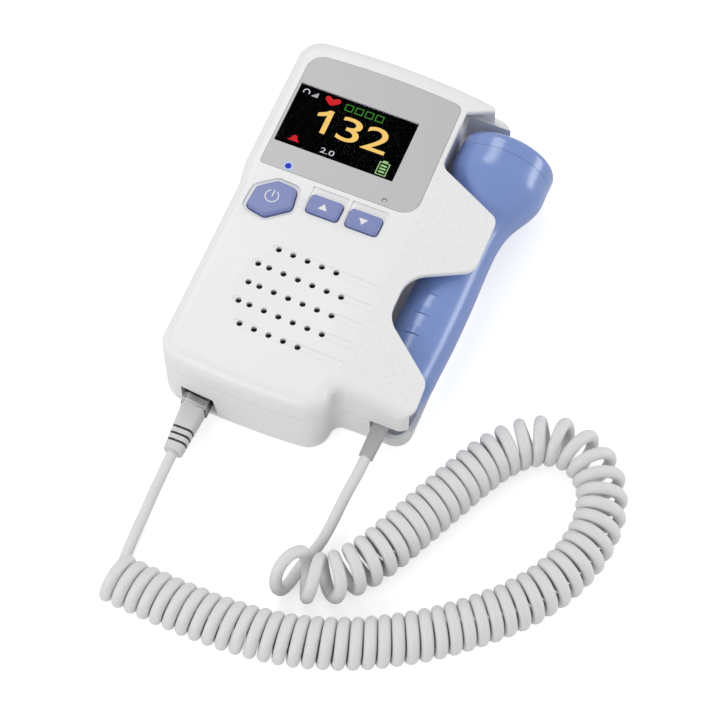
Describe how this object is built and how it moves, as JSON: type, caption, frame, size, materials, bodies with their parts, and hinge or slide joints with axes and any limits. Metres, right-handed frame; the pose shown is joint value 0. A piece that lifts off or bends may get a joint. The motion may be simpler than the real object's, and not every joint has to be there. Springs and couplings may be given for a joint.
{
  "type": "fetal doppler monitor",
  "caption": "Handheld doppler monitor with a lit screen, keys and speaker grille, and a probe on a coiled cord that docks in its side.",
  "frame": {"origin": "on the surface the unit lies on, under the middle of its bounding box without the cord and plug", "axes": "+Y towards the display end, +X towards the docked probe, +Z out of the keypad face"},
  "size_m": [0.1762, 0.2286, 0.0387],
  "materials": {
    "backing_grey": "filled epoxy",
    "cell_jacket": "printed jacket",
    "contact_steel": "nickel plated",
    "door_white": "satin moulded ABS",
    "spring_steel": "nickel plated",
    "board_screw_steel": "zinc plated",
    "chip_black": "moulded",
    "cord_grey_coil": "satin",
    "cord_grey_plug": "satin",
    "cord_grey_probe": "satin",
    "screen_pane": "clear gloss",
    "overlay_grey": "printed polycarbonate film",
    "key_blue_down": "satin",
    "socket_black": "moulded",
    "flex_white": "flat cable",
    "shell_white": "satin moulded ABS",
    "screw_steel": "zinc plated",
    "io_board_green": "solder mask",
    "cradle_white": "moulded",
    "screen_black": "dark glass in a black frame",
    "light_blue": "clear acrylic, lit blue",
    "board_green": "solder mask",
    "jack_black": "moulded",
    "crystal_grey": "silvered ceramic",
    "plug_clear": "clear polycarbonate",
    "boot_grey": "matt",
    "contact_gold": "gold flash",
    "key_blue_power": "satin",
    "probe_board_green": "solder mask",
    "probe_blue_lower": "pearl gloss",
    "relief_grey": "matt",
    "probe_blue": "pearl gloss",
    "shell_white_rear": "satin moulded ABS",
    "sensor_dark": "dark acrylic",
    "cone_paper": "treated paper",
    "basket_black": "black paint",
    "magnet_plated": "plated",
    "mesh_black": "woven cloth and foam",
    "switch_black": "moulded",
    "cap_blue": "pearl gloss",
    "key_blue_up": "satin"
  },
  "bodies": {
    "housing": {"front_housing": "shell_white", "rear_housing": "shell_white_rear", "display_overlay": "overlay_grey", "display_lens": "screen_pane", "lcd_module": "screen_black", "lcd_cradle": "cradle_white", "led_light_pipe": "light_blue", "sensor_lens": "sensor_dark", "tact_switches": "switch_black", "main_board": "board_green", "controller_chips": "chip_black", "board_screws": "board_screw_steel", "io_board": "io_board_green", "earphone_jack": "socket_black", "modular_jack": "jack_black", "flex_cable": "flex_white", "speaker_frame": "basket_black", "speaker_cone": "cone_paper", "speaker_magnet": "magnet_plated", "speaker_mesh": "mesh_black", "housing_screws": "screw_steel", "battery_cells": "cell_jacket", "battery_contacts": "contact_steel", "battery_springs": "spring_steel"},
    "power_key": {"power_button": "key_blue_power"},
    "up_key": {"up_button": "key_blue_up"},
    "down_key": {"down_button": "key_blue_down"},
    "door": {"battery_door": "door_white"},
    "plug": {"plug_body": "plug_clear", "plug_contacts": "contact_gold", "plug_boot": "boot_grey"},
    "probe": {"probe_upper_shell": "probe_blue", "probe_lower_shell": "probe_blue_lower", "transducer_cap": "cap_blue", "piezo_crystals": "crystal_grey", "acoustic_backing": "backing_grey", "probe_board": "probe_board_green", "probe_strain_relief": "relief_grey", "cord_plug_lead": "cord_grey_plug", "cord_coil": "cord_grey_coil", "cord_probe_lead": "cord_grey_probe"}
  },
  "joints": [
    {"name": "power_press", "type": "slide", "parent": "housing", "child": "power_key", "axis": [0, 0, -1], "range_m": [0, 0.0008], "stiffness_N_per_m": 1000},
    {"name": "up_press", "type": "slide", "parent": "housing", "child": "up_key", "axis": [0, 0, -1], "range_m": [0, 0.0008], "stiffness_N_per_m": 1000},
    {"name": "down_press", "type": "slide", "parent": "housing", "child": "down_key", "axis": [0, 0, -1], "range_m": [0, 0.0008], "stiffness_N_per_m": 1000},
    {"name": "door_lift", "type": "slide", "parent": "housing", "child": "door", "axis": [0, 0, -1], "range_m": [0, 0.01]},
    {"name": "plug_pull", "type": "slide", "parent": "housing", "child": "plug", "axis": [0, -1, 0], "range_m": [0, 0.012], "deforming": ["cord_plug_lead"]},
    {"name": "probe_undock", "type": "slide", "parent": "housing", "child": "probe", "axis": [1, 0, 0], "range_m": [0, 0.045]}
  ]
}
